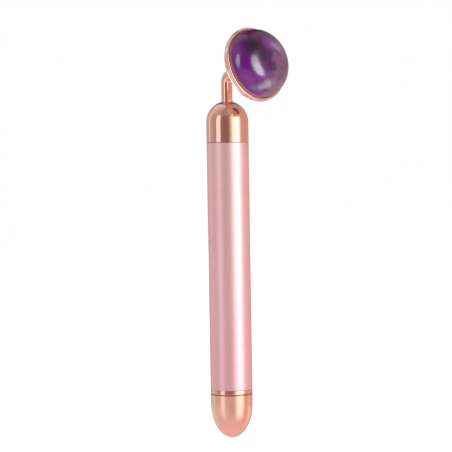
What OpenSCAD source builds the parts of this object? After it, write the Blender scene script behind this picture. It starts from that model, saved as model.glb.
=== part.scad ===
// Battery-powered facial massage wand: an aluminium grip with plated end caps,
// a bent neck and a fixed head that carries a domed stone.
// +Z runs up the grip from the lower end of the tube, and the head faces -Y.

/* [Grip] */
// Outer diameter of the grip tube and its end caps
grip_d = 17; // [16.8:0.1:18]
// Length of the grip tube
grip_len = 100; // [98:1:110]
// Wall of the grip tube
tube_wall = 0.6; // [0.5:0.1:0.7]
// Width of the plated band below the tube
band_h = 1.8; // [1:0.1:3]

/* [End cap] */
// Straight part of the end cap below the seam
cap_straight = 5.2; // [4.8:0.1:8]
// Length of the rounded nose of the end cap
cap_nose = 13; // [12:0.5:16]
// Axial advance of the cap in one turn
thread_pitch = 1; // [0.5:0.1:1.5]

/* [Dome and neck] */
// Straight part of the upper dome below its hemisphere
dome_straight = 8.2; // [8:0.1:12]
// Diameter of the neck rod
neck_d = 4.5; // [4.3:0.1:5]
// Height of the bend's corner above the crown of the dome
neck_rise = 9.8; // [9:0.1:20]
// Radius of the neck's bend at its centre line
bend_r = 3.2; // [2.6:0.1:4]
// Tilt of the head above the horizontal
head_tilt = 14; // [5:1:20]
// Distance from the bend's corner to the plane of the head's rim
head_reach = 18.5; // [18:0.5:24]

/* [Head] */
// Outer diameter of the bezel cup
head_d = 30; // [28:0.5:34]
// Height of the stone above the rim
stone_h = 9; // [6:0.1:14]
// Depth of the bezel cup behind the rim
cup_depth = 4.8; // [4.5:0.1:6]

/* [Inside] */
// Diameter of the battery cell, size AA
cell_d = 14.2; // [14:0.1:14.3]
// Length of the battery cell, terminal included
cell_len = 50.5; // [49.5:0.1:50.5]
// Width of the vibration motor
motor_d = 12; // [11:0.5:12]
// Thickness of the vibration motor across its flats
motor_flat = 10; // [8:0.5:10]
// Length of the vibration motor's can
motor_len = 15; // [12:0.5:15]
// Swing radius of the eccentric weight
weight_r = 5.2; // [3:0.1:5.4]

/* [Hidden] */
$fn = 96;

// Clearances
assembly_gap = 0.02;
face_gap = 0.05;
bury = 0.5;
cut = 1;

// Colours
rose_gold = "#dd9a84";
pink_anodised = "#dfaab0";
steel = "#b4b6ba";
brass = "#c9a756";
white_plastic = "#e4e2da";
black_rubber = "#222222";
copper = "#b36b3e";
board_green = "#2f6b45";
amethyst = "#562070";

// Grip
grip_r = grip_d / 2;
bore_r = grip_r - tube_wall;
counterbore_r = bore_r + 0.2;
counterbore_h = 7.4;
spigot_h = 6;
edge_break = 0.15;

// Lower ring and cap core
ring_spigot_r = counterbore_r - assembly_gap;
ring_spigot_h = 7.2;
ring_bore_r = 7.5;
core_r = ring_bore_r - 0.075;
core_bore_r = 6.3;
core_top = 5.2;
seam_z = -band_h;
cap_top = seam_z - face_gap;
cap_wall = 1.5;
core_bottom = cap_top - cap_straight + 0.6;
core_lip = 0.8;
thread_groove = 0.35;
thread_grooves = 4;
thread_start_z = 0.4;
oring_section = 0.8;
oring_r = ring_bore_r - oring_section / 2;
oring_z = seam_z + 0.9;

// Battery
cell_bottom = core_top + 0.8;
cell_top = cell_bottom + cell_len;
terminal_r = 2.7;
terminal_h = 1.2;
wrap_t = 0.1;
liner_r = bore_r - face_gap;
liner_bore_r = liner_r - 0.4;
liner_bottom = counterbore_h + 0.1;
board_z = cell_top + 3.5;
board_t = 1.6;
strip_w = 2.4;
strip_t = 0.2;
strip_r = liner_bore_r + 0.12;
contact_stem_r = 1.1;
contact_stem_rise = 0.5;
contact_head_r = 2.4;
contact_head_h = 0.8;
wrap_margin = 0.7;

// Cap spring
plate_z = core_bottom + 0.3;
plate_t = 0.5;
spring_wire_r = 0.4;
spring_bottom_r = 4.8;
spring_top_r = 3.4;
spring_turns = 5;
spring_sides = 8;
spring_steps = 18;

// Motor
motor_z = board_z + 14.5;
motor_top = motor_z + motor_len;
can_wall = 0.5;
end_cap_t = 1.6;
terminal_x = 4;
terminal_t = 0.5;
terminal_drop = 1.4;
terminal_w = 1.5;
terminal_len = 5.4;
terminal_slot = 0.1;
lead_r = 0.45;
lead_y = 3;
lead_bow = 0.9;
lead_sag = 0.8;
lead_steps = 14;
lead_hole_r = 0.6;
shaft_r = 0.75;
bushing_r = 1.9;
bushing_h = 1.8;
armature_r = 3.3;
armature_h = 7;
armature_z = motor_z + 5.2;
commutator_r = 1.5;
commutator_h = 2.6;
commutator_z = armature_z - commutator_h - 0.1;
weight_h = 5;
weight_z = motor_top + 2.6;
weight_hub_r = 2;
weight_clear = 1;
shaft_tail = 0.2;
shaft_end = 0.4;
armature_slot_w = 1;
armature_slot_depth = 2.2;
magnet_gap = 0.4;
magnet_half_w = 4.2;
magnet_start = 2;
magnet_inset = 0.3;
brush_w = 1.8;
brush_h = 1.2;
brush_inset = 0.3;
bushing_out = 0.4;
bushing_inset = 0.3;
holder_bottom = board_z + board_t + 0.1;
holder_floor_t = 1.4;
holder_floor_drop = 4;
holder_wall = 1;
holder_hole_r = 1.5;
holder_top = grip_len - spigot_h - face_gap;
holder_r = liner_r;

// Upper dome
spigot_r = bore_r - assembly_gap;
dome_bore_r = spigot_r - 1.1;
dome_centre_z = grip_len + dome_straight;
dome_apex = dome_centre_z + grip_r;
crown_floor_z = dome_apex - 4.7;
crown_floor_r = 4.7;
crown_bore_h = 3.1;
dome_oring_z = grip_len - 3.2;
dome_oring_section = 0.8;

// Neck
neck_r = neck_d / 2;
neck_seat_z = dome_apex - crown_bore_h;
neck_tail_r = 2;
bend_angle = 90 - head_tilt;
bend_z = dome_apex + neck_rise;
bend_run = bend_r * tan(bend_angle / 2);
bend_swell = 0.01;
bend_lap = 0.1;
nut_flats = 7;
nut_h = 3;
washer_h = 0.6;
tail_bottom = crown_floor_z - washer_h - nut_h - 1;

// Head, along its own axis from the plane of the rim
head_r = head_d / 2;
cup_side = 1.65;
cup_floor_z = -2.7;
cup_back_r = 5.6;
cup_corner = 4.3;
lip_r = 0.42;
seat_r = head_r - 1.07;
boss_r = 3.4;
boss_h = 0.9;
stone_r = seat_r - 0.08;
stone_girdle = 0.1;
stone_power = 0.6;
adhesive_t = 0.3;
screw_r = 1.25;
screw_head_r = 2.3;
screw_head_h = 1.1;
screw_len = 5.5;
screw_recess_w = 0.7;
screw_recess_len = 2.6;
screw_recess_depth = 0.6;
head_washer_t = 0.4;
pocket_depth = head_washer_t + screw_head_h + 0.15;
pocket_clear = 0.4;
lip_land = 0.2;
boss_edge = 0.3;
stone_edge = 0.4;
adhesive_margin = 0.6;
arc_steps = 16;

// Points of an arc about a centre, from one angle to another
function arc(centre_x, centre_y, rx, ry, from, to, steps = arc_steps) =
    [for (i = [0 : steps])
        let (a = from + (to - from) * i / steps)
        [centre_x + rx * cos(a), centre_y + ry * sin(a)]];

// Points round a ring of a swept tube, at a place and along a direction
function ring_points(place, along, side, radius, sides) =
    let (across = cross(along, side) / norm(cross(along, side)),
         normal = cross(across, along) / norm(along))
    [for (k = [0 : sides - 1])
        place + radius * (cos(360 * k / sides) * normal + sin(360 * k / sides) * across)];

// A tube with closed ends swept through a list of points
module swept_tube(path, radius, sides, side = [0, 0, 1]) {
    last = len(path) - 1;
    rings = [for (i = [0 : last])
        ring_points(path[i], path[min(i + 1, last)] - path[max(i - 1, 0)], side, radius, sides)];
    points = [for (ring = rings) for (p = ring) p];
    walls = [for (i = [0 : last - 1]) for (k = [0 : sides - 1])
        let (a = i * sides + k, b = i * sides + (k + 1) % sides)
        [a, b, b + sides, a + sides]];
    start = [for (k = [sides - 1 : -1 : 0]) k];
    finish = [for (k = [0 : sides - 1]) last * sides + k];
    polyhedron(points = points, faces = concat([start], walls, [finish]), convexity = 6);
}

module ring(outer, inner, height) {
    difference() {
        cylinder(r = outer, h = height);
        translate([0, 0, -cut]) cylinder(r = inner, h = height + 2 * cut);
    }
}

module torus(radius, section_r) {
    rotate_extrude() translate([radius, 0]) circle(r = section_r, $fn = 32);
}

// A round can with two flats across Y, as small motors have
module flatted(radius, across, height) {
    intersection() {
        cylinder(r = radius, h = height);
        translate([-radius, -across / 2, 0]) cube([2 * radius, across, height]);
    }
}

// Places its children on the head's own axis, with z = 0 in the plane of the rim
module on_head() {
    translate([0, 0, bend_z]) rotate([bend_angle, 0, 0]) translate([0, 0, head_reach]) children();
}

module grip_tube() {
    color(pink_anodised)
    rotate_extrude() polygon([
        [counterbore_r, 0], [grip_r - edge_break, 0], [grip_r, edge_break],
        [grip_r, grip_len - edge_break], [grip_r - edge_break, grip_len],
        [bore_r, grip_len], [bore_r, counterbore_h], [counterbore_r, counterbore_h]
    ]);
}

module lower_ring() {
    color(rose_gold)
    rotate_extrude() polygon([
        [ring_bore_r, seam_z], [grip_r - edge_break, seam_z], [grip_r, seam_z + edge_break],
        [grip_r, -edge_break], [grip_r - edge_break, -assembly_gap],
        [ring_spigot_r, -assembly_gap], [ring_spigot_r, ring_spigot_h],
        [ring_bore_r, ring_spigot_h]
    ]);
}

module top_dome() {
    groove = dome_oring_section / 2 + face_gap;
    color(rose_gold)
    rotate_extrude() polygon(concat(
        [[dome_bore_r, grip_len - spigot_h], [spigot_r, grip_len - spigot_h],
         [spigot_r, dome_oring_z - groove], [spigot_r - dome_oring_section, dome_oring_z - groove],
         [spigot_r - dome_oring_section, dome_oring_z + groove], [spigot_r, dome_oring_z + groove],
         [spigot_r, grip_len + assembly_gap], [grip_r - edge_break, grip_len + assembly_gap],
         [grip_r, grip_len + edge_break]],
        arc(0, dome_centre_z, grip_r, grip_r, 0, acos((neck_r + assembly_gap) / grip_r)),
        [[neck_r + assembly_gap, neck_seat_z], [neck_tail_r + face_gap, neck_seat_z],
         [neck_tail_r + face_gap, crown_floor_z], [crown_floor_r, crown_floor_z],
         [dome_bore_r, crown_floor_z - 5]]
    ));
}

module dome_oring() {
    color(black_rubber)
    translate([0, 0, dome_oring_z])
    torus(spigot_r - dome_oring_section / 2 + assembly_gap / 2, dome_oring_section / 2 - assembly_gap);
}

module end_cap() {
    nose_z = cap_top - cap_straight;
    inner_r = grip_r - cap_wall;
    color(rose_gold)
    rotate_extrude() polygon(concat(
        [[core_r + assembly_gap, cap_top],
         [grip_r - edge_break, cap_top], [grip_r, cap_top - edge_break]],
        arc(0, nose_z, grip_r, cap_nose, 0, -90, 24),
        arc(0, nose_z, inner_r, cap_nose - cap_wall, -90, 0, 24),
        [[inner_r, core_bottom - assembly_gap], [core_r + assembly_gap, core_bottom - assembly_gap]]
    ));
}

module cap_core() {
    lip_z = plate_z - assembly_gap;
    color(white_plastic)
    difference() {
        rotate_extrude() polygon([
            [core_bore_r - core_lip, core_bottom], [core_r, core_bottom], [core_r, core_top - 0.4],
            [core_r - 0.4, core_top], [core_bore_r, core_top], [core_bore_r, lip_z],
            [core_bore_r - core_lip, lip_z]
        ]);
        for (turn = [0 : thread_grooves - 1])
            translate([0, 0, thread_start_z + turn * thread_pitch])
            ring(core_r + 1, core_r - thread_groove, thread_pitch / 2);
        translate([0, 0, oring_z]) torus(oring_r, oring_section / 2);
    }
}

module cap_oring() {
    color(black_rubber)
    translate([0, 0, oring_z]) torus(oring_r, oring_section / 2 - assembly_gap);
}

module spring_plate() {
    color(brass)
    translate([0, 0, plate_z]) cylinder(r = core_bore_r - assembly_gap, h = plate_t);
}

module cap_spring() {
    low = plate_z + plate_t + spring_wire_r + assembly_gap;
    high = cell_bottom - spring_wire_r - face_gap;
    count = spring_turns * spring_steps;
    path = [for (i = [0 : count])
        let (t = i / count,
             r = spring_bottom_r + (spring_top_r - spring_bottom_r) * t,
             climb = min(1, max(0, (t * spring_turns - 0.7) / (spring_turns - 1.4))))
        [r * cos(360 * spring_turns * t), r * sin(360 * spring_turns * t), low + (high - low) * climb]];
    color(steel) swept_tube(path, spring_wire_r, spring_sides);
}

module battery_cell() {
    shoulder = cell_top - terminal_h;
    rim = 0.6;
    color(steel)
    rotate_extrude() polygon([
        [0, cell_bottom], [cell_d / 2 - rim, cell_bottom], [cell_d / 2, cell_bottom + rim],
        [cell_d / 2, shoulder - rim], [cell_d / 2 - rim, shoulder], [terminal_r, shoulder],
        [terminal_r, cell_top - 0.2], [terminal_r - 0.2, cell_top], [0, cell_top]
    ]);
}

module battery_wrap() {
    inner_r = cell_d / 2 + assembly_gap;
    color("#3a3f4a")
    translate([0, 0, cell_bottom + wrap_margin])
    ring(inner_r + wrap_t, inner_r, cell_len - terminal_h - 2 * wrap_margin);
}

module battery_liner() {
    height = board_z - liner_bottom;
    color(white_plastic)
    difference() {
        translate([0, 0, liner_bottom]) ring(liner_r, liner_bore_r, height);
        translate([-strip_w / 2 - face_gap, liner_bore_r - cut, liner_bottom - cut])
        cube([strip_w + 2 * face_gap, 3 * cut, height + 2 * cut]);
    }
}

module ground_strip() {
    color(brass)
    translate([-strip_w / 2, liner_bore_r + face_gap, ring_spigot_h + face_gap])
    cube([strip_w, strip_t, board_z - ring_spigot_h - 2 * face_gap]);
}

module positive_contact() {
    head_z = cell_top + face_gap;
    color(brass)
    translate([0, 0, head_z]) union() {
        cylinder(r = contact_head_r, h = contact_head_h);
        cylinder(r = contact_stem_r, h = board_z + board_t + contact_stem_rise - head_z);
    }
}

module contact_board() {
    color(board_green)
    difference() {
        translate([0, 0, board_z + assembly_gap]) cylinder(r = liner_r, h = board_t);
        translate([0, 0, board_z - cut])
        cylinder(r = contact_stem_r + assembly_gap, h = board_t + 3 * cut);
        for (side = [-1, 1])
            translate([side * terminal_x, lead_y, board_z - cut])
            cylinder(r = lead_hole_r, h = board_t + 3 * cut);
    }
}

// A lead from the board, through the holder's floor, to one motor terminal
module lead(side) {
    low = board_z + board_t + 2 * face_gap;
    high = motor_z - terminal_drop - face_gap;
    path = [for (i = [0 : lead_steps])
        let (t = i / lead_steps)
        [side * (terminal_x + lead_bow * sin(180 * t)),
         lead_y * cos(90 * t) - lead_sag * sin(180 * t),
         low + (high - low) * t]];
    swept_tube(path, lead_r, 8, [1, 0, 0]);
}

module lead_red() {
    color("#b3262b") lead(1);
}

module lead_black() {
    color("#1c1c1e") lead(-1);
}

module motor_holder() {
    floor_z = motor_z - holder_floor_drop;
    color(white_plastic)
    difference() {
        translate([0, 0, holder_bottom]) cylinder(r = holder_r, h = holder_top - holder_bottom);
        translate([0, 0, holder_bottom - cut])
        cylinder(r = holder_r - holder_wall, h = floor_z - holder_bottom + cut);
        translate([0, 0, floor_z + holder_floor_t])
        flatted(motor_d / 2 + face_gap, motor_flat + 2 * face_gap, motor_len + holder_floor_drop);
        translate([0, 0, motor_top - cut])
        cylinder(r = weight_r + weight_clear, h = holder_top - motor_top + 2 * cut);
        for (side = [-1, 1])
            translate([side * terminal_x, 0, floor_z - cut])
            cylinder(r = holder_hole_r, h = holder_floor_t + 2 * cut);
    }
}

module motor_can() {
    color(steel)
    difference() {
        translate([0, 0, motor_z]) flatted(motor_d / 2, motor_flat, motor_len);
        translate([0, 0, motor_z - cut])
        flatted(motor_d / 2 - can_wall, motor_flat - 2 * can_wall, motor_len + cut - can_wall);
        translate([0, 0, motor_top - 2 * cut]) cylinder(r = bushing_r + assembly_gap, h = 4 * cut);
    }
}

module motor_end_cap() {
    slot_t = terminal_t + 2 * terminal_slot;
    slot_w = terminal_w + 2 * terminal_slot;
    color(white_plastic)
    difference() {
        translate([0, 0, motor_z]) flatted(
            motor_d / 2 - can_wall - assembly_gap,
            motor_flat - 2 * can_wall - 2 * assembly_gap, end_cap_t);
        translate([0, 0, motor_z - cut]) cylinder(r = bushing_r + assembly_gap, h = end_cap_t + 2 * cut);
        for (side = [-1, 1])
            translate([side * terminal_x - slot_t / 2, -slot_w / 2, motor_z - cut])
            cube([slot_t, slot_w, end_cap_t + 2 * cut]);
    }
}

module motor_terminals() {
    color(copper)
    for (side = [-1, 1])
        translate([side * terminal_x - terminal_t / 2, -terminal_w / 2, motor_z - terminal_drop])
        cube([terminal_t, terminal_w, terminal_len]);
}

module motor_bushings() {
    color(brass)
    for (z = [motor_z - bushing_out, motor_top - can_wall - bushing_inset])
        translate([0, 0, z]) ring(bushing_r, shaft_r + assembly_gap, bushing_h);
}

module motor_magnets() {
    outer = motor_d / 2 - can_wall - assembly_gap;
    inner = armature_r + magnet_gap;
    color("#4a4a4d")
    translate([0, 0, armature_z + magnet_inset])
    intersection() {
        ring(outer, inner, armature_h - 2 * magnet_inset);
        union() {
            for (side = [0, 180])
                rotate([0, 0, side])
                translate([magnet_start, -magnet_half_w, -cut])
                cube([outer, 2 * magnet_half_w, armature_h + 2 * cut]);
        }
    }
}

module motor_brushes() {
    inner = commutator_r + face_gap;
    color("#3c3a38")
    for (side = [0, 180])
        rotate([0, 0, side])
        translate([inner, -brush_w / 2, commutator_z + brush_inset])
        cube([terminal_x - terminal_t / 2 - assembly_gap - inner, brush_w, brush_h]);
}

module motor_armature() {
    color(copper)
    translate([0, 0, armature_z])
    difference() {
        ring(armature_r, shaft_r + assembly_gap / 2, armature_h);
        for (pole = [0 : 2])
            rotate([0, 0, 120 * pole])
            translate([armature_r - armature_slot_depth, -armature_slot_w / 2, -cut])
            cube([armature_slot_depth + cut, armature_slot_w, armature_h + 2 * cut]);
    }
}

module motor_commutator() {
    color(copper)
    translate([0, 0, commutator_z]) ring(commutator_r, shaft_r + assembly_gap / 2, commutator_h);
}

module motor_shaft() {
    color(steel)
    translate([0, 0, motor_z - shaft_tail])
    cylinder(r = shaft_r, h = weight_z + weight_h + shaft_end + shaft_tail - motor_z);
}

module eccentric_weight() {
    color(brass)
    translate([0, 0, weight_z])
    difference() {
        union() {
            cylinder(r = weight_hub_r, h = weight_h);
            intersection() {
                cylinder(r = weight_r, h = weight_h);
                translate([0, -weight_r, -cut]) cube([weight_r + cut, 2 * weight_r, weight_h + 2 * cut]);
            }
        }
        translate([0, 0, -cut]) cylinder(r = shaft_r + assembly_gap / 2, h = weight_h + 2 * cut);
    }
}

module neck_rod() {
    seat_z = neck_seat_z + assembly_gap;
    stub_len = head_reach - bend_run - cup_depth - boss_h - assembly_gap;
    screw_hole_z = cut - cup_depth - boss_h - screw_len;
    color(rose_gold)
    difference() {
        union() {
            translate([0, 0, tail_bottom]) cylinder(r = neck_tail_r, h = seat_z - tail_bottom + bury);
            translate([0, 0, seat_z]) cylinder(r = neck_r, h = bend_z - bend_run - seat_z + bend_lap);
            translate([0, -bend_r, bend_z - bend_run]) rotate([90, 0, 90])
            rotate_extrude(angle = bend_angle) translate([bend_r, 0]) circle(r = neck_r + bend_swell);
            translate([0, 0, bend_z]) rotate([bend_angle, 0, 0]) translate([0, 0, bend_run - bend_lap])
            cylinder(r = neck_r, h = stub_len + bend_lap);
        }
        on_head() translate([0, 0, screw_hole_z]) cylinder(r = screw_r + face_gap, h = screw_len + cut);
    }
}

module neck_washer() {
    color(steel)
    translate([0, 0, crown_floor_z - washer_h - assembly_gap])
    ring(nut_flats / 2 + 0.4, neck_tail_r + face_gap, washer_h);
}

module neck_nut() {
    color(steel)
    translate([0, 0, crown_floor_z - washer_h - nut_h - 2 * assembly_gap])
    difference() {
        cylinder(r = nut_flats / sqrt(3), h = nut_h, $fn = 6);
        translate([0, 0, -cut]) cylinder(r = neck_tail_r + assembly_gap, h = nut_h + 2 * cut);
    }
}

module bezel_cup() {
    lip_x = head_r - lip_r;
    land_x = lip_x - lip_land;
    boss_bottom = -cup_depth - boss_h;
    color(rose_gold)
    on_head()
    difference() {
        rotate_extrude() polygon(concat(
            [[0, cup_floor_z], [seat_r, cup_floor_z]],
            arc(land_x, -lip_r, land_x - seat_r, lip_r, 180, 90, 6),
            arc(lip_x, -lip_r, lip_r, lip_r, 90, 0, 6),
            arc(head_r - cup_back_r, -cup_side, cup_back_r, cup_corner - cup_side, 0, -90),
            [[boss_r, -cup_depth], [boss_r, boss_bottom + boss_edge],
             [boss_r - boss_edge, boss_bottom], [0, boss_bottom]]
        ));
        translate([0, 0, boss_bottom - cut]) cylinder(r = screw_r + face_gap, h = cup_depth + cut);
        translate([0, 0, cup_floor_z - pocket_depth])
        cylinder(r = screw_head_r + pocket_clear, h = pocket_depth + cut);
    }
}

module head_washer() {
    color(steel)
    on_head()
    translate([0, 0, cup_floor_z - pocket_depth + assembly_gap])
    ring(screw_head_r + pocket_clear / 2, screw_r + face_gap, head_washer_t);
}

module head_screw() {
    head_z = cup_floor_z - pocket_depth + head_washer_t + 2 * assembly_gap;
    recess_z = head_z + screw_head_h - screw_recess_depth;
    color(steel)
    on_head()
    difference() {
        union() {
            translate([0, 0, head_z]) cylinder(r = screw_head_r, h = screw_head_h);
            translate([0, 0, head_z - screw_len]) cylinder(r = screw_r, h = screw_len + bury);
        }
        for (turn = [0, 90])
            rotate([0, 0, turn])
            translate([-screw_recess_len / 2, -screw_recess_w / 2, recess_z])
            cube([screw_recess_len, screw_recess_w, cut]);
    }
}

module stone_adhesive() {
    color("#d8d4c8")
    on_head()
    translate([0, 0, cup_floor_z + assembly_gap]) cylinder(r = stone_r - adhesive_margin, h = adhesive_t);
}

module amethyst_stone() {
    base_z = cup_floor_z + adhesive_t + 2 * assembly_gap;
    rise = stone_h - stone_girdle;
    steps = 30;
    color(amethyst)
    on_head()
    rotate_extrude() polygon(concat(
        [[0, base_z], [stone_r - stone_edge, base_z], [stone_r, base_z + stone_edge]],
        [for (i = [0 : steps])
            let (a = 90 * i / steps)
            [stone_r * pow(max(0, cos(a)), stone_power), stone_girdle + rise * sin(a)]]
    ));
}

grip_tube();
lower_ring();
top_dome();
dome_oring();
end_cap();
cap_core();
cap_oring();
spring_plate();
cap_spring();
battery_cell();
battery_wrap();
battery_liner();
ground_strip();
positive_contact();
contact_board();
lead_red();
lead_black();
motor_holder();
motor_can();
motor_end_cap();
motor_terminals();
motor_bushings();
motor_magnets();
motor_brushes();
motor_armature();
motor_commutator();
motor_shaft();
eccentric_weight();
neck_rod();
neck_washer();
neck_nut();
bezel_cup();
head_screw();
head_washer();
stone_adhesive();
amethyst_stone();
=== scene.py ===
"""Facial massage wand: finished surfaces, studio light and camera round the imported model."""
import math

import bmesh
import bpy
from mathutils import Matrix, Vector


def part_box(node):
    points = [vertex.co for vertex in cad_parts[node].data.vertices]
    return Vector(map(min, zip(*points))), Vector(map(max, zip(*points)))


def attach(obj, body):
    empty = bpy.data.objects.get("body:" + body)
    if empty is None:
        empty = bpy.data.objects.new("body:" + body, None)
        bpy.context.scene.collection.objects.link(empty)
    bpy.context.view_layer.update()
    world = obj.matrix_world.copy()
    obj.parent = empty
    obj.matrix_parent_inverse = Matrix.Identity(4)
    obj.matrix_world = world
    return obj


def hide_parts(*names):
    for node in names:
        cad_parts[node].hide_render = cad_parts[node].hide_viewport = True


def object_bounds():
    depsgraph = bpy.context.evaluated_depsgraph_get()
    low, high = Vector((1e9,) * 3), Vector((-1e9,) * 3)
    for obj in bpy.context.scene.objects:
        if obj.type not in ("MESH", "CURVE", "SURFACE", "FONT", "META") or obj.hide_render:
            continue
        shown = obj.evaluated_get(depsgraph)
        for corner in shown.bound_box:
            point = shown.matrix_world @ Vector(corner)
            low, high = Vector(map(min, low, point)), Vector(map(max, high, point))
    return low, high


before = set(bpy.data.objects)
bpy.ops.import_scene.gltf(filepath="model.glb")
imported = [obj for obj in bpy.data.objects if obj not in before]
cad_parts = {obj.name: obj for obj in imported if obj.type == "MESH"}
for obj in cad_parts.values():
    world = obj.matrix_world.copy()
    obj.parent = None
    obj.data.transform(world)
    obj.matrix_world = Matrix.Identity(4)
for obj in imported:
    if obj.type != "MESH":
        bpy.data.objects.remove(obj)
cad_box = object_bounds()

MM = 0.001
TURN = 2 * math.pi

# Sizes that the frame gives, in millimetres
tube_low, tube_high = (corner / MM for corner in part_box("grip_tube"))
dome_low, dome_high = (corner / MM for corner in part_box("top_dome"))
ring_low, ring_high = (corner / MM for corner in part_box("lower_ring"))
cap_low, cap_high = (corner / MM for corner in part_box("end_cap"))
core_low, core_high = (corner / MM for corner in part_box("cap_core"))
grip_r = tube_high.x
grip_len = tube_high.z

# Sizes of the pieces, in millimetres
FIT_GAP = 0.02
TUBE_WALL = 0.6
TUBE_EDGE = 0.14
COUNTERBORE_R = 8.1
COUNTERBORE_DEEP = 7.4
SPIGOT_R = 7.88
SPIGOT_BORE_R = SPIGOT_R - 1.1
CORE_R = core_high.x
CORE_BORE_R = 6.3
RING_BORE_R = 7.5
CAP_WALL = 1.5
CAP_STRAIGHT = 5.2
# The straight part of the cap narrows by this much, so that its reflections run smoothly into the nose
CAP_TAPER = 0.1
DOME_STRAIGHT = 8.2
NECK_R = 2.25
BEND_R = 3.2
# Depths below the dome's top: the neck's seat, the ceiling over the nut and the foot of the slope beside it
CROWN_BORE = 3.1
CROWN_CEILING = 4.6
CROWN_SLOPE = 9.6
TAIL_BORE_R = 2.05
NUT_ROOM_R = 4.7
HEAD_R = 15.0
CUP_FLOOR = -2.7
CUP_SIDE = 1.65
CUP_CORNER = 4.3
CUP_DEPTH = 4.8
CUP_BACK_R = 5.6
BOSS_R = 3.4
BOSS_H = 0.9
BOSS_FILLET = 0.5
BOSS_EDGE = 0.3
LIP_R = 0.42
LIP_LAND = 0.2
SEAT_R = HEAD_R - 1.07
STONE_R = SEAT_R - 0.08
STONE_BED = 0.34
STONE_CHAMFER = 0.4
STONE_H = 9.0
STONE_GIRDLE = 0.1
# The stone's outline is an ellipse whose cosine is raised to this power, which makes its side fuller
STONE_POWER = 0.6
THREAD_PITCH = 1.0
THREAD_DEPTH = 0.34
# Heights over which the thread runs in and out, and the chamfer over the core's top
THREAD_RUN_IN = 0.4
THREAD_RUN_OUT = 0.6
THREAD_START = 0.3
THREAD_END_BELOW_TOP = 0.5
CORE_CHAMFER = 0.35
RIM_AHEAD_OF_ADHESIVE = 2.53

# How finely the meshes are divided
ROUND = 192
STONE_ROUND = 256
STONE_STEPS = 140
ROD_SIDES = 96
BEND_STEPS = 40
STRAIGHT_STEPS = 6
THREAD_LEVELS = 150
SHARP_ANGLE = math.radians(38)
# A rounded corner's support points lie this many times further out than the arc's ends
SUPPORT = 1.6


def middle(node):
    """The middle of a node's box, in millimetres."""
    low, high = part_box(node)
    return (low + high) / 2 / MM


# The head's own axis runs through two flat discs, the washer and the adhesive
head_axis = (middle("stone_adhesive") - middle("head_washer")).normalized()
rim_centre = middle("stone_adhesive") + head_axis * RIM_AHEAD_OF_ADHESIVE
bend_corner = rim_centre + head_axis * (-rim_centre.y / head_axis.y)
head_across = Vector((1, 0, 0))
head_up = head_axis.cross(head_across)
head_place = Matrix((
    (head_across.x, head_up.x, head_axis.x, rim_centre.x),
    (head_across.y, head_up.y, head_axis.y, rim_centre.y),
    (head_across.z, head_up.z, head_axis.z, rim_centre.z),
    (0, 0, 0, 1),
))
upright = Matrix.Identity(4)


# ---------------------------------------------------------------- outlines

def arc(centre, radii, start, end, steps=24):
    """Points of an elliptical arc, with its angles in degrees."""
    angles = (math.radians(start + (end - start) * i / steps) for i in range(steps + 1))
    return [(centre[0] + radii[0] * math.cos(a), centre[1] + radii[1] * math.sin(a)) for a in angles]


def rounded(corners, steps=5):
    """An outline with each corner (r, z, radius) turned into a small arc with a support point on both sides."""
    outline = []
    count = len(corners)
    for i, (r, z, radius) in enumerate(corners):
        here = Vector((r, z))
        if radius == 0:
            outline.append((r, z))
            continue
        back = (Vector(corners[i - 1][:2]) - here).normalized()
        ahead = (Vector(corners[(i + 1) % count][:2]) - here).normalized()
        half = back.angle(ahead) / 2
        reach = radius / math.tan(half)
        centre = here + (back + ahead).normalized() * (radius / math.sin(half))
        first = here + back * reach - centre
        sweep = math.pi - 2 * half
        if first.cross(ahead) < 0:
            sweep = -sweep
        outline.append(tuple(here + back * reach * SUPPORT))
        for k in range(steps + 1):
            spoke = first.copy()
            spoke.rotate(Matrix.Rotation(sweep * k / steps, 2))
            outline.append(tuple(centre + spoke))
        outline.append(tuple(here + ahead * reach * SUPPORT))
    return outline


# ------------------------------------------------------------------ meshes

def finish_mesh(name, mesh, place, body, node):
    """Puts a mesh in millimetres into the scene in metres, in place of one CAD node."""
    mesh.transform(Matrix.Scale(MM, 4) @ place)
    piece = bpy.data.objects.new(name, mesh)
    bpy.context.scene.collection.objects.link(piece)
    mesh.polygons.foreach_set("use_smooth", [True] * len(mesh.polygons))
    mesh.set_sharp_from_angle(angle=SHARP_ANGLE)
    mesh.update()
    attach(piece, body)
    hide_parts(node)
    return piece


def clean(build):
    """A mesh from a bmesh, with doubled points merged and its faces turned outwards."""
    bmesh.ops.remove_doubles(build, verts=build.verts, dist=1e-4)
    bmesh.ops.dissolve_degenerate(build, edges=build.edges, dist=1e-5)
    bmesh.ops.recalc_face_normals(build, faces=build.faces)
    mesh = bpy.data.meshes.new("outline")
    build.to_mesh(mesh)
    build.free()
    return mesh


def lathe(outline, segments=ROUND):
    """A closed outline of (r, z) points turned about the Z axis."""
    build = bmesh.new()
    rings = []
    for i in range(segments):
        angle = TURN * i / segments
        rings.append([build.verts.new((r * math.cos(angle), r * math.sin(angle), z)) for r, z in outline])
    count = len(outline)
    for i in range(segments):
        here, beside = rings[i], rings[(i + 1) % segments]
        for k in range(count):
            after = (k + 1) % count
            if outline[k][0] < 1e-6 and outline[after][0] < 1e-6:
                continue
            build.faces.new((here[k], beside[k], beside[after], here[after]))
    return clean(build)


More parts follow.
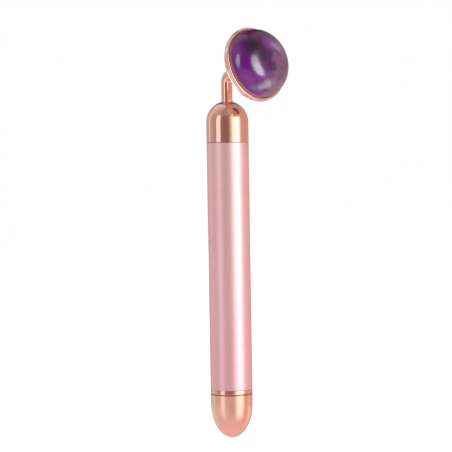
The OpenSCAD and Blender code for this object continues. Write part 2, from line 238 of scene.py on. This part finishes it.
def swept(path, radius):
    """A round rod through a list of points in the YZ plane, closed at both ends."""
    build = bmesh.new()
    rings = []
    sides = ROD_SIDES
    across = Vector((1, 0, 0))
    for i, point in enumerate(path):
        along = (path[min(i + 1, len(path) - 1)] - path[max(i - 1, 0)]).normalized()
        side = along.cross(across)
        rings.append([
            build.verts.new(point + radius * (math.cos(TURN * k / sides) * across
                                              + math.sin(TURN * k / sides) * side))
            for k in range(sides)])
    for here, after in zip(rings, rings[1:]):
        for k in range(sides):
            beside = (k + 1) % sides
            build.faces.new((here[k], here[beside], after[beside], after[k]))
    build.faces.new(rings[0])
    build.faces.new(rings[-1])
    return clean(build)


def threaded(low, high, bore, crest):
    """A collar whose outside carries a rounded helical thread, with a chamfer over its top."""
    start = THREAD_START
    end = high - THREAD_END_BELOW_TOP
    levels = [low + (high - low) * i / THREAD_LEVELS for i in range(THREAD_LEVELS + 1)]

    def radius(angle, z):
        fade = min(1, max(0, (z - start) / THREAD_RUN_IN)) * min(1, max(0, (end - z) / THREAD_RUN_OUT))
        wave = 0.5 + 0.5 * math.cos(TURN * z / THREAD_PITCH + angle)
        chamfer = max(0, z - (high - CORE_CHAMFER))
        return crest - THREAD_DEPTH * fade * min(1, 1.5 * wave) - chamfer

    build = bmesh.new()
    rings = []
    for i in range(ROUND):
        angle = TURN * i / ROUND
        outline = [(radius(angle, z), z) for z in levels] + [(bore, high), (bore, low)]
        rings.append([build.verts.new((r * math.cos(angle), r * math.sin(angle), z)) for r, z in outline])
    count = len(rings[0])
    for i in range(ROUND):
        here, beside = rings[i], rings[(i + 1) % ROUND]
        for k in range(count):
            after = (k + 1) % count
            build.faces.new((here[k], beside[k], beside[after], here[after]))
    return clean(build)


# --------------------------------------------------------------- materials
# Noise scales are per metre, except in the stone's colours, where they are per millimetre

def add(tree, kind, sockets=None, **settings):
    """A shader node with its settings, and each socket linked or given its value."""
    made = tree.nodes.new(kind)
    for name, value in settings.items():
        setattr(made, name, value)
    for name, value in (sockets or {}).items():
        if isinstance(value, bpy.types.NodeSocket):
            tree.links.new(value, made.inputs[name])
        else:
            made.inputs[name].default_value = value
    return made


def ramp(tree, factor, stops, smooth=False):
    """The colour output of a colour ramp with the given (position, colour) stops."""
    made = add(tree, "ShaderNodeValToRGB", {"Fac": factor})
    band = made.color_ramp
    band.interpolation = "EASE" if smooth else "LINEAR"
    while len(band.elements) < len(stops):
        band.elements.new(0.5)
    for element, (position, colour) in zip(band.elements, stops):
        element.position = position
        element.color = (*colour, 1)
    return made.outputs["Color"]


def grey(value):
    """A colour with the same value in all three channels."""
    return (value, value, value)


def math_node(tree, operation, first, second=0.0, clamp=False):
    """The result of one arithmetic step."""
    made = add(tree, "ShaderNodeMath", {0: first, 1: second}, operation=operation, use_clamp=clamp)
    return made.outputs[0]


def mixed(tree, factor, first, second, blend="MIX"):
    """Two colours mixed by a factor."""
    made = add(tree, "ShaderNodeMix", data_type="RGBA", blend_type=blend)
    for index, value in ((0, factor), (6, first), (7, second)):
        if isinstance(value, bpy.types.NodeSocket):
            tree.links.new(value, made.inputs[index])
        else:
            made.inputs[index].default_value = value if index == 0 else (*value, 1)
    return made.outputs[2]


def noise(tree, place, scale, detail=3.0, rough=0.5, distort=0.0):
    """The grey output of a noise texture."""
    made = add(tree, "ShaderNodeTexNoise", {
        "Vector": place, "Scale": scale, "Detail": detail, "Roughness": rough, "Distortion": distort})
    return made.outputs["Fac"]


def bump(tree, height, strength, distance):
    """A surface normal that follows a height."""
    made = add(tree, "ShaderNodeBump", {"Height": height, "Strength": strength, "Distance": distance})
    return made.outputs["Normal"]


def surface(name):
    """A new material with its tree, its shader and the object's own coordinates."""
    made = bpy.data.materials.new(name)
    made.use_nodes = True
    tree = made.node_tree
    shader = tree.nodes["Principled BSDF"]
    place = add(tree, "ShaderNodeTexCoord").outputs["Object"]
    return made, tree, shader, place


def scaled(tree, place, factors):
    """Coordinates stretched along each axis."""
    return add(tree, "ShaderNodeMapping", {"Vector": place, "Scale": factors}).outputs["Vector"]


def set_all(tree, shader, values):
    """Each of the shader's sockets linked or given its value."""
    for name, value in values.items():
        if isinstance(value, bpy.types.NodeSocket):
            tree.links.new(value, shader.inputs[name])
        else:
            shader.inputs[name].default_value = value


# Heights of the two joints of the grip and the half width of the painted shade line in each, in millimetres
JOINT_SHADE_LINES = ((ring_low.z - 0.03, 0.20), (grip_len + 0.05, 0.13))
JOINT_SHADE_COLOUR = (0.13, 0.05, 0.04)


def rose_gold(name, deep, light):
    """Polished rose-gold plating, with a drifting tint, haze, fine scratches and painted shade lines, dark and
    dull, in the joints.
    """
    made, tree, shader, place = surface(name)
    drift = noise(tree, place, 90, detail=2)
    tint = ramp(tree, drift, [(0.3, deep), (0.7, light)])
    haze = noise(tree, place, 260, detail=5, rough=0.6)
    hair = noise(tree, scaled(tree, place, (2600, 2600, 160)), 1.0, detail=3)
    rough = ramp(tree, haze, [(0.35, grey(0.055)), (0.75, grey(0.13))])
    height = add(tree, "ShaderNodeSeparateXYZ", {"Vector": place}).outputs["Z"]
    # Painted shade: a dark, dull line over each joint, where the gap between the parts would be in shadow
    for joint, half in JOINT_SHADE_LINES:
        apart = math_node(tree, "ABSOLUTE", math_node(tree, "SUBTRACT", height, joint * MM))
        seam_shade = add(tree, "ShaderNodeMapRange", {
            "Value": apart, "From Min": half * MM, "From Max": half * MM * 0.4}).outputs["Result"]
        tint = mixed(tree, seam_shade, tint, JOINT_SHADE_COLOUR)
        rough = mixed(tree, seam_shade, rough, grey(0.5))
    relief = math_node(tree, "ADD", math_node(tree, "MULTIPLY", hair, 0.5), haze)
    set_all(tree, shader, {
        "Base Color": tint, "Metallic": 1.0, "Roughness": rough,
        "Normal": bump(tree, relief, 0.05, 0.0002)})
    return made


# Colour of the anodised film from the grip's foot to its top
FILM_FADE = [(0.0, (0.86, 0.50, 0.565)), (0.45, (0.86, 0.555, 0.59)), (1.0, (0.86, 0.575, 0.59))]
FILM_CLOUD = [(0.3, (0.80, 0.50, 0.54)), (0.7, (0.97, 0.74, 0.75))]


def pink_anodised():
    """Fine bead-blasted aluminium under a pale pink anodised film."""
    made, tree, shader, place = surface("pink_anodised_satin")
    height = add(tree, "ShaderNodeSeparateXYZ", {"Vector": place}).outputs["Z"]
    along = math_node(tree, "DIVIDE", height, grip_len * MM, clamp=True)
    fade = ramp(tree, along, FILM_FADE)
    cloud = noise(tree, place, 140, detail=3)
    speck = noise(tree, place, 5200, detail=2, rough=0.7)
    film = mixed(tree, 0.10, fade, ramp(tree, cloud, FILM_CLOUD))
    film = mixed(tree, 0.07, film, ramp(tree, speck, [(0.35, grey(0.55)), (0.65, grey(1.0))]), "MULTIPLY")
    rough = ramp(tree, speck, [(0.3, grey(0.33)), (0.7, grey(0.40))])
    grain = noise(tree, place, 3600, detail=3, rough=0.65)
    set_all(tree, shader, {
        "Base Color": film, "Metallic": 0.62, "Roughness": rough, "Specular Tint": (1.0, 0.60, 0.46, 1.0),
        "Normal": bump(tree, grain, 0.22, 0.00006)})
    return made


# Colour across the stone, from its deep side to its cloudy side
STONE_BODY = [
    (0.0, (0.135, 0.004, 0.200)), (0.35, (0.115, 0.003, 0.190)),
    (0.65, (0.160, 0.038, 0.205)), (1.0, (0.215, 0.088, 0.190)),
]
CLOUDY_SIDE = (0.95, -0.30, 0.0)
VEIN_COLOUR = (0.48, 0.36, 0.50)
# Height in millimetres of the reddish foot, a painted reflection of the rim in the stone's base, and its colour
# and strength
RIM_REFLECTION_HEIGHT = 3.0
RIM_REFLECTION_COLOUR = [(0.0, (0.66, 0.36, 0.36)), (0.17, (0.42, 0.15, 0.18)), (0.33, (0.20, 0.04, 0.08))]
RIM_REFLECTION_STRENGTH = [(0.0, (0.85, 0.85, 0.85)), (0.25, (0.8, 0.8, 0.8)), (0.5, (0.0, 0.0, 0.0))]
# Soft zones of colour: middle on the head's own axes, size, edge, colour and strength
STONE_ZONES = [
    ((-1.2, 10.0, 7.3), 3.0, 3.0, (0.110, 0.066, 0.120), 0.7),
    ((-6.8, 9.4, 6.8), 2.0, 2.4, (0.160, 0.070, 0.130), 0.7),
    ((-7.5, 5.1, 7.9), 3.6, 3.4, (0.010, 0.001, 0.020), 0.85),
    ((-3.8, 0.8, 9.0), 3.0, 2.4, (0.024, 0.001, 0.055), 0.9),
    ((0.5, 6.5, 8.6), 2.2, 2.0, (0.200, 0.095, 0.360), 0.7),
    ((3.6, 4.0, 8.8), 2.4, 2.0, (0.420, 0.290, 0.560), 0.75),
    ((9.6, -1.5, 7.6), 2.4, 2.6, (0.050, 0.032, 0.055), 0.85),
    ((8.0, 1.4, 8.1), 1.8, 1.8, (0.180, 0.125, 0.185), 0.75),
    ((2.2, 1.0, 9.0), 2.9, 1.5, (0.050, 0.012, 0.068), 0.75),
    ((2.3, -0.6, 9.0), 2.4, 0.9, (0.195, 0.068, 0.225), 0.95),
    ((-0.4, -3.6, 9.0), 1.9, 1.2, (0.050, 0.003, 0.065), 0.9),
    ((5.2, -4.6, 8.6), 2.6, 2.0, (0.150, 0.055, 0.130), 0.7),
    ((4.6, -8.5, 7.4), 2.6, 2.4, (0.085, 0.056, 0.095), 0.75),
    ((-5.0, -11.0, 5.4), 1.3, 1.7, (0.370, 0.280, 0.390), 0.8),
    ((-2.4, -10.5, 6.8), 1.5, 1.8, (0.440, 0.360, 0.450), 0.9),
    ((0.6, -9.9, 7.4), 1.1, 1.5, (0.210, 0.140, 0.210), 0.8),
    ((-7.7, -10.6, 3.8), 1.4, 1.6, (0.150, 0.130, 0.270), 0.8),
    ((-10.5, -7.2, 4.5), 2.6, 2.6, (0.200, 0.026, 0.260), 0.85),
    ((-13.0, 3.9, 2.3), 2.4, 2.8, (0.190, 0.030, 0.290), 0.75),
    ((1.5, -12.8, 3.6), 3.2, 2.2, (0.120, 0.048, 0.075), 0.75),
]


def amethyst():
    """Polished amethyst, deep purple on one side and cloudy lilac on the other, with zones, faint veins and a
    painted reflection of the rim round its foot.
    """
    made, tree, shader, place = surface("banded_amethyst")
    local = add(tree, "ShaderNodeMapping", {"Vector": place}, vector_type="TEXTURE")
    local.inputs["Location"].default_value = head_place.translation * MM
    local.inputs["Rotation"].default_value = head_place.to_3x3().to_euler()
    local.inputs["Scale"].default_value = (MM, MM, MM)
    spot = local.outputs["Vector"]

    wander = add(tree, "ShaderNodeTexNoise", {"Vector": spot, "Scale": 0.22, "Detail": 3.0}).outputs["Color"]
    shift = add(tree, "ShaderNodeVectorMath", {0: wander, 1: (0.5, 0.5, 0.5)}, operation="SUBTRACT").outputs[0]
    shift = add(tree, "ShaderNodeVectorMath", {0: shift, "Scale": 3.2}, operation="SCALE").outputs[0]
    warped = add(tree, "ShaderNodeVectorMath", {0: spot, 1: shift}, operation="ADD").outputs[0]

    slope = add(tree, "ShaderNodeVectorMath", {0: warped, 1: CLOUDY_SIDE}, operation="DOT_PRODUCT")
    pale = add(tree, "ShaderNodeMapRange", {
        "Value": slope.outputs["Value"], "From Min": -6.0, "From Max": 6.0}, interpolation_type="SMOOTHSTEP"
    ).outputs["Result"]
    body = ramp(tree, pale, STONE_BODY)
    mottle = noise(tree, warped, 0.55, detail=4, rough=0.55)
    body = mixed(tree, 0.45, body, ramp(tree, mottle, [(0.32, grey(0.45)), (0.62, grey(1.15))]), "MULTIPLY")

    for centre, size, edge, colour, strength in STONE_ZONES:
        apart = add(tree, "ShaderNodeVectorMath", {0: warped, 1: centre}, operation="DISTANCE").outputs["Value"]
        inside = add(tree, "ShaderNodeMapRange", {
            "Value": apart, "From Min": size + edge, "From Max": max(0.0, size - edge), "To Max": strength},
            interpolation_type="SMOOTHSTEP").outputs["Result"]
        body = mixed(tree, inside, body, colour)

    wave = noise(tree, warped, 0.16, 4, 0.5, 0.4)
    ridge = math_node(tree, "ABSOLUTE", math_node(tree, "SUBTRACT", wave, 0.5))
    vein = ramp(tree, ridge, [(0.0, grey(0.16)), (0.06, grey(0.08)), (0.16, grey(0.0))], smooth=True)
    vein = math_node(tree, "MULTIPLY", vein, pale)
    body = mixed(tree, vein, body, VEIN_COLOUR)

    # Painted reflection: towards its base the stone takes the reddish colour of the rose-gold rim
    depth = add(tree, "ShaderNodeSeparateXYZ", {"Vector": spot}).outputs["Z"]
    low = math_node(tree, "DIVIDE", depth, RIM_REFLECTION_HEIGHT, clamp=True)
    rim_reflection_colour = ramp(tree, low, RIM_REFLECTION_COLOUR)
    body = mixed(tree, ramp(tree, low, RIM_REFLECTION_STRENGTH), body, rim_reflection_colour)

    set_all(tree, shader, {
        "Base Color": body, "Roughness": 0.15, "IOR": 1.55,
        "Subsurface Weight": 0.1, "Subsurface Scale": 0.0012,
        "Normal": bump(tree, noise(tree, place, 900, 2), 0.02, 0.0002)})
    shader.inputs["Subsurface Radius"].default_value = (0.8, 0.35, 1.0)
    return made


def metal(name, colour, rough, grain_scale=900.0, relief=0.08):
    """A plain metal with a tint that drifts, uneven roughness and fine grain."""
    made, tree, shader, place = surface(name)
    drift = noise(tree, place, 240, detail=3)
    low = tuple(channel * 0.86 for channel in colour)
    grain = noise(tree, place, grain_scale, detail=4, rough=0.6)
    set_all(tree, shader, {
        "Base Color": ramp(tree, drift, [(0.3, low), (0.7, colour)]), "Metallic": 1.0,
        "Roughness": ramp(tree, grain, [(0.3, grey(rough * 0.8)), (0.7, grey(rough * 1.25))]),
        "Normal": bump(tree, grain, relief, 0.0002)})
    return made


def moulded(name, colour, rough, grain_scale=1400.0, relief=0.1, see_through=0.0):
    """A moulded or coated material with slight mottling and a fine skin."""
    made, tree, shader, place = surface(name)
    drift = noise(tree, place, 200, detail=3)
    low = tuple(channel * 0.88 for channel in colour)
    grain = noise(tree, place, grain_scale, detail=3, rough=0.55)
    set_all(tree, shader, {
        "Base Color": ramp(tree, drift, [(0.3, low), (0.7, colour)]),
        "Roughness": ramp(tree, grain, [(0.3, grey(rough * 0.85)), (0.7, grey(rough * 1.15))]),
        "Normal": bump(tree, grain, relief, 0.0001), "Transmission Weight": see_through})
    return made


FINISHES = {
    "rose_gold": rose_gold("rose_gold_plating", (0.905, 0.545, 0.435), (0.955, 0.61, 0.50)),
    "pink_anodised": pink_anodised(),
    "amethyst": amethyst(),
    "white_plastic": moulded("white_moulding", (0.80, 0.78, 0.73), 0.42),
    "black_rubber": moulded("black_rubber", (0.022, 0.022, 0.023), 0.55, 2200.0, 0.2),
    "steel": metal("nickelled_steel", (0.66, 0.66, 0.67), 0.24),
    "brass": metal("bright_brass", (0.78, 0.58, 0.28), 0.26),
    "battery_wrap": moulded("battery_film", (0.045, 0.055, 0.08), 0.22, 700.0, 0.05),
    "circuit_board": moulded("solder_mask", (0.03, 0.14, 0.06), 0.32, 1800.0, 0.12),
    "red_insulation": moulded("red_insulation", (0.42, 0.022, 0.026), 0.36),
    "black_insulation": moulded("black_insulation", (0.02, 0.02, 0.022), 0.36),
    "copper": metal("bare_copper", (0.80, 0.42, 0.27), 0.3),
    "carbon": moulded("pressed_carbon", (0.035, 0.033, 0.031), 0.5, 3000.0, 0.25),
    "ferrite": moulded("sintered_ferrite", (0.07, 0.07, 0.075), 0.45, 2600.0, 0.25),
    "epoxy": moulded("cured_epoxy", (0.68, 0.65, 0.58), 0.2, 500.0, 0.05, see_through=0.3),
}

# The cup's plating is a little paler than the rest: painted light, a lit copy that makes the cup and its
# reflection in the neck look brighter
CUP_LIT_PLATING = rose_gold("lit_pale_rose_gold_plating", (0.94, 0.66, 0.575), (0.97, 0.72, 0.64))


# ------------------------------------------------------------------ pieces

def grip_tube():
    return lathe(rounded([
        (COUNTERBORE_R, tube_low.z, 0.05), (grip_r, tube_low.z, TUBE_EDGE), (grip_r, grip_len, TUBE_EDGE),
        (grip_r - TUBE_WALL, grip_len, 0.05), (grip_r - TUBE_WALL, COUNTERBORE_DEEP, 0),
        (COUNTERBORE_R, COUNTERBORE_DEEP, 0)]))


def lower_ring():
    spigot = COUNTERBORE_R - FIT_GAP
    return lathe(rounded([
        (RING_BORE_R, ring_low.z, 0.08), (grip_r, ring_low.z, 0.2), (grip_r, -FIT_GAP, 0.12),
        (spigot, -FIT_GAP, 0), (spigot, ring_high.z, 0.08),
        (RING_BORE_R, ring_high.z, 0.08)]))


def top_dome():
    centre = (0, grip_len + DOME_STRAIGHT)
    bore = NECK_R + FIT_GAP
    skirt = rounded([
        (SPIGOT_BORE_R, dome_low.z, 0.1), (SPIGOT_R, dome_low.z, 0.15), (SPIGOT_R, grip_len + FIT_GAP, 0),
        (grip_r, grip_len + FIT_GAP, 0.14), (grip_r, centre[1], 0)])
    crown = arc(centre, (grip_r, grip_r), 0, math.degrees(math.acos(bore / grip_r)), 64)
    seat = dome_high.z - CROWN_BORE
    ceiling = dome_high.z - CROWN_CEILING
    return lathe(skirt + crown + [
        (bore, seat), (TAIL_BORE_R, seat), (TAIL_BORE_R, ceiling), (NUT_ROOM_R, ceiling),
        (SPIGOT_BORE_R, dome_high.z - CROWN_SLOPE)])


def end_cap():
    top = cap_high.z
    nose = top - CAP_STRAIGHT
    length = nose - cap_low.z
    inner = grip_r - CAP_WALL
    core_side = CORE_R + FIT_GAP
    start = math.atan(CAP_TAPER / CAP_STRAIGHT * length / grip_r)
    tall = length / (1 - math.sin(start))
    wide = (grip_r - CAP_TAPER) / math.cos(start)
    centre = (0, nose + tall * math.sin(start))
    waist = grip_r - CAP_TAPER
    outside = rounded([(core_side, top, 0), (grip_r, top, 0.2), (waist, nose, 0)])
    return lathe(
        outside
        + arc(centre, (wide, tall), -math.degrees(start), -90, 96)
        + arc((0, nose), (inner, length - CAP_WALL), -90, 0, 32)
        + [(inner, core_low.z - FIT_GAP), (core_side, core_low.z - FIT_GAP)])


def cap_core():
    return threaded(core_low.z, core_high.z, CORE_BORE_R, CORE_R)


def neck_rod():
    bend_angle = math.acos(head_axis.z)
    run = BEND_R * math.tan(bend_angle / 2)
    start = bend_corner - Vector((0, 0, run))
    centre = start + Vector((0, -BEND_R, 0))
    foot = Vector((0, 0, dome_high.z - CROWN_BORE + FIT_GAP))
    turns = [bend_angle * i / BEND_STEPS for i in range(BEND_STEPS + 1)]
    bend = [centre + BEND_R * Vector((0, math.cos(turn), math.sin(turn))) for turn in turns]
    stub_end = rim_centre - head_axis * (CUP_DEPTH + BOSS_H + FIT_GAP)
    straight = [foot + (start - foot) * i / STRAIGHT_STEPS for i in range(STRAIGHT_STEPS)]
    stub = [bend[-1] + (stub_end - bend[-1]) * i / STRAIGHT_STEPS for i in range(1, STRAIGHT_STEPS + 1)]
    return swept(straight + bend + stub, NECK_R)


def bezel_cup():
    lip = HEAD_R - LIP_R
    land = lip - LIP_LAND
    back = HEAD_R - CUP_BACK_R
    return lathe(
        [(0, CUP_FLOOR), (SEAT_R, CUP_FLOOR)]
        + arc((land, -LIP_R), (land - SEAT_R, LIP_R), 180, 90, 10)
        + arc((lip, -LIP_R), (LIP_R, LIP_R), 90, 0, 12)
        + arc((back, -CUP_SIDE), (CUP_BACK_R, CUP_CORNER - CUP_SIDE), 0, -90, 40)
        + arc((BOSS_R + BOSS_FILLET, -CUP_DEPTH - BOSS_FILLET), (BOSS_FILLET, BOSS_FILLET), 90, 180, 6)
        + arc((BOSS_R - BOSS_EDGE, -CUP_DEPTH - BOSS_H + BOSS_EDGE), (BOSS_EDGE, BOSS_EDGE), 0, -90, 6)
        + [(0, -CUP_DEPTH - BOSS_H)])


def amethyst_stone():
    base = CUP_FLOOR + STONE_BED
    curve = []
    for i in range(STONE_STEPS + 1):
        angle = math.pi / 2 * i / STONE_STEPS
        flat = max(0.0, math.cos(angle)) ** STONE_POWER
        curve.append((STONE_R * flat, STONE_GIRDLE + (STONE_H - STONE_GIRDLE) * math.sin(angle)))
    foot = [(0, base), (STONE_R - STONE_CHAMFER, base), (STONE_R, base + STONE_CHAMFER)]
    return lathe(foot + curve, STONE_ROUND)


PIECES = [
    ("grip_tube", grip_tube, upright, "root"),
    ("lower_ring", lower_ring, upright, "root"),
    ("top_dome", top_dome, upright, "root"),
    ("neck_rod", neck_rod, upright, "root"),
    ("bezel_cup", bezel_cup, head_place, "root"),
    ("amethyst_stone", amethyst_stone, head_place, "root"),
    ("end_cap", end_cap, upright, "cap"),
    ("cap_core", cap_core, upright, "cap"),
]
for node, build, place, body in PIECES:
    piece = finish_mesh(node + "_finished", build(), place, body, node)
    slot_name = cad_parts[node].data.materials[0].name
    piece.data.materials.append(CUP_LIT_PLATING if node == "bezel_cup" else FINISHES[slot_name])

for cad_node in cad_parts.values():
    for material_slot in cad_node.material_slots:
        material_slot.material = FINISHES[material_slot.material.name]


# ------------------------------------------------------------------ camera

CAMERA_AZIMUTH = math.radians(-42)
CAMERA_DISTANCE = 0.745
CAMERA_PITCH = math.radians(2.6)
CAMERA_ROLL = math.radians(0.94)
CAMERA_ASIDE = -0.0012
FOCAL_LENGTH = 146.5
SENSOR_WIDTH = 36
NEAREST = 0.01

toward_camera = Vector((math.sin(CAMERA_AZIMUTH), -math.cos(CAMERA_AZIMUTH), 0))
camera_right = Vector((math.cos(CAMERA_AZIMUTH), math.sin(CAMERA_AZIMUTH), 0))


def add_camera():
    """The camera at the photograph's angle, pitched down and rolled a little."""
    data = bpy.data.cameras.new("camera")
    data.lens = FOCAL_LENGTH
    data.sensor_width = SENSOR_WIDTH
    data.clip_start = NEAREST
    camera = bpy.data.objects.new("camera", data)
    bpy.context.scene.collection.objects.link(camera)
    ahead = (-toward_camera * math.cos(CAMERA_PITCH) - Vector((0, 0, math.sin(CAMERA_PITCH)))).normalized()
    level_up = camera_right.cross(ahead)
    across = camera_right * math.cos(CAMERA_ROLL) - level_up * math.sin(CAMERA_ROLL)
    upward = across.cross(ahead)
    place = toward_camera * CAMERA_DISTANCE + camera_right * CAMERA_ASIDE
    place.z = grip_len * MM
    camera.matrix_world = Matrix((
        (across.x, upward.x, -ahead.x, place.x),
        (across.y, upward.y, -ahead.y, place.y),
        (across.z, upward.z, -ahead.z, place.z),
        (0, 0, 0, 1)))
    bpy.context.scene.camera = camera


# ------------------------------------------------------------------- light

BACKDROP_STRENGTH = 1.0
# The strongest light in the tent. Ring colours are divided by it, because a ramp holds no more than 1
TENT_PEAK = 2.4
# Heights where each ring takes over from the one below, from 0 straight down to 1 straight up
LOW_RING = (0.16, 0.33)
MIDDLE_RING = (0.411, 0.430)
HIGH_RING = (0.740, 0.810)
# Light from below, and then by bearing from the camera, in degrees to its right, in three rings round the tent.
# The rings are set so that the plated pieces reflect what the photograph shows
TENT_FLOOR = (0.86, 0.64, 0.61)
TENT_LOW = [
    (-180, (0.40, 0.32, 0.30)), (-160, (0.75, 0.70, 0.68)), (-120, (0.85, 0.76, 0.74)),
    (-95, (0.74, 0.62, 0.60)), (-66, (0.82, 0.70, 0.69)), (-56, (1.02, 0.96, 0.97)),
    (-44, (1.02, 0.96, 0.97)), (-36, (0.80, 0.66, 0.65)), (-10, (0.68, 0.54, 0.53)),
    (8, (0.66, 0.54, 0.53)), (22, (0.84, 0.78, 0.76)), (36, (1.45, 1.42, 1.38)),
    (58, (1.40, 1.36, 1.30)), (72, (0.90, 0.78, 0.74)), (84, (0.74, 0.50, 0.42)),
    (100, (1.06, 0.66, 0.54)), (122, (1.10, 0.86, 0.78)), (150, (0.60, 0.52, 0.48)),
    (180, (0.40, 0.32, 0.30)),
]
TENT_MIDDLE = [
    (-180, (0.14, 0.08, 0.06)), (-166, (0.26, 0.19, 0.17)), (-152, (0.62, 0.54, 0.53)),
    (-124, (0.60, 0.52, 0.50)), (-116, (1.02, 0.99, 0.97)), (-108, (0.62, 0.52, 0.50)),
    (-76, (0.50, 0.39, 0.36)), (-66, (0.42, 0.32, 0.29)), (-61, (1.15, 1.17, 1.20)),
    (-42, (1.15, 1.17, 1.20)), (-36, (0.33, 0.24, 0.20)), (-10, (0.28, 0.18, 0.155)),
    (6, (0.32, 0.19, 0.16)), (20, (0.80, 0.72, 0.68)), (32, (1.62, 1.60, 1.55)),
    (61, (2.15, 2.10, 2.02)), (72, (1.05, 0.98, 0.95)), (83, (0.72, 0.48, 0.39)),
    (120, (0.70, 0.43, 0.34)), (156, (0.60, 0.48, 0.42)), (168, (0.26, 0.19, 0.17)),
    (180, (0.14, 0.08, 0.06)),
]
TENT_HIGH = [
    (-180, (0.05, 0.025, 0.02)), (-165, (0.12, 0.08, 0.07)), (-150, (0.85, 0.82, 0.82)),
    (-90, (0.62, 0.56, 0.54)), (-30, (0.40, 0.32, 0.29)), (30, (0.40, 0.32, 0.29)),
    (90, (0.55, 0.42, 0.36)), (150, (0.50, 0.38, 0.32)), (165, (0.12, 0.08, 0.07)),
    (180, (0.05, 0.025, 0.02)),
]


def tent_ring(tree, bearing, stops):
    """The light of one ring at a bearing."""
    places = [((angle + 180) / 360, tuple(c / TENT_PEAK for c in colour)) for angle, colour in stops]
    return ramp(tree, bearing, places)


def ring_reached(tree, level, heights):
    """Grey that rises from 0 to 1 between two heights."""
    return ramp(tree, level, [(heights[0], grey(0.0)), (heights[1], grey(1.0))])


def add_world():
    """A tent of light with bright panels left and right of the camera, and a white backdrop in its view."""
    world = bpy.data.worlds.new("studio_tent")
    bpy.context.scene.world = world
    world.use_nodes = True
    tree = world.node_tree
    tree.nodes.clear()
    way = add(tree, "ShaderNodeTexCoord").outputs["Generated"]
    turned = add(tree, "ShaderNodeMapping", {
        "Vector": way, "Rotation": (0, 0, math.pi / 2 - CAMERA_AZIMUTH)}).outputs["Vector"]
    bearing = add(tree, "ShaderNodeTexGradient", {"Vector": turned}, gradient_type="RADIAL").outputs["Fac"]
    height = add(tree, "ShaderNodeSeparateXYZ", {"Vector": turned}).outputs["Z"]
    level = math_node(tree, "MULTIPLY_ADD", height, 0.5)
    level.node.inputs[2].default_value = 0.5
    tent = tuple(channel / TENT_PEAK for channel in TENT_FLOOR)
    for heights, stops in ((LOW_RING, TENT_LOW), (MIDDLE_RING, TENT_MIDDLE), (HIGH_RING, TENT_HIGH)):
        tent = mixed(tree, ring_reached(tree, level, heights), tent, tent_ring(tree, bearing, stops))
    light = add(tree, "ShaderNodeBackground", {"Color": tent, "Strength": TENT_PEAK})
    backdrop = add(tree, "ShaderNodeBackground", {"Color": (1, 1, 1, 1), "Strength": BACKDROP_STRENGTH})
    seen = add(tree, "ShaderNodeLightPath").outputs["Is Camera Ray"]
    both = add(tree, "ShaderNodeMixShader", {0: seen, 1: light.outputs[0], 2: backdrop.outputs[0]})
    add(tree, "ShaderNodeOutputWorld", {"Surface": both.outputs[0]})


LIGHT_AWAY = 0.6
TUBE_MIDDLE = 60.0
# Softboxes, each linked to one piece and shadowed by no other: the piece, the bearing and rise in degrees,
# the width and height in metres, and the power in watts. They are placed for the photo's angle. From behind,
# the stone's three wash out its outer edge.
PIECE_LIGHTS = [
    ("amethyst_stone", 43, 10, (0.46, 0.48), 2.5),
    ("amethyst_stone", 48, 4, (0.30, 0.34), 1.0),
    ("amethyst_stone", -54, 12, (0.22, 0.40), 0.75),
    ("bezel_cup", -126, -29, (0.50, 0.40), 0.7),
    ("grip_tube", 49, 0, (0.50, 1.20), 1.6),
]


def add_piece_lights():
    """Oval softboxes that show only as highlights on one piece each."""
    for number, (node, bearing, rise, (width, height), power) in enumerate(PIECE_LIGHTS):
        name = node + "_softbox_" + str(number)
        lit = bpy.data.collections.new(name)
        lit.objects.link(bpy.data.objects[node + "_finished"])
        data = bpy.data.lights.new(name, "AREA")
        data.shape = "ELLIPSE"
        data.size = width
        data.size_y = height
        data.energy = power
        lamp = bpy.data.objects.new(name, data)
        bpy.context.scene.collection.objects.link(lamp)
        turn = math.atan2(toward_camera.y, toward_camera.x) + math.radians(bearing)
        level = math.cos(math.radians(rise))
        away = Vector((math.cos(turn) * level, math.sin(turn) * level, math.sin(math.radians(rise))))
        target = Vector((0, 0, TUBE_MIDDLE)) if node == "grip_tube" else rim_centre
        lamp.location = target * MM + away * LIGHT_AWAY
        lamp.rotation_euler = away.to_track_quat("Z", "Y").to_euler()
        lamp.light_linking.receiver_collection = lit
        lamp.light_linking.blocker_collection = lit
        lamp.visible_diffuse = False


FLOOR_DROP = 0.12
FLOOR_SIZE = 3.0


def add_floor():
    """A plain pale floor, well below the wand."""
    build = bmesh.new()
    bmesh.ops.create_grid(build, x_segments=1, y_segments=1, size=FLOOR_SIZE)
    mesh = bpy.data.meshes.new("floor")
    build.to_mesh(mesh)
    build.free()
    floor = bpy.data.objects.new("floor", mesh)
    floor.location.z = cad_box[0].z - FLOOR_DROP
    bpy.context.scene.collection.objects.link(floor)
    made, tree, shader, _ = surface("pale_floor")
    set_all(tree, shader, {
        "Base Color": (0.85, 0.85, 0.85, 1), "Roughness": 0.9,
        "Emission Color": (1, 1, 1, 1), "Emission Strength": 0.75})
    mesh.materials.append(made)
    floor.visible_glossy = False


add_camera()
add_world()
add_piece_lights()
add_floor()
bpy.context.scene.view_settings.view_transform = "Standard"
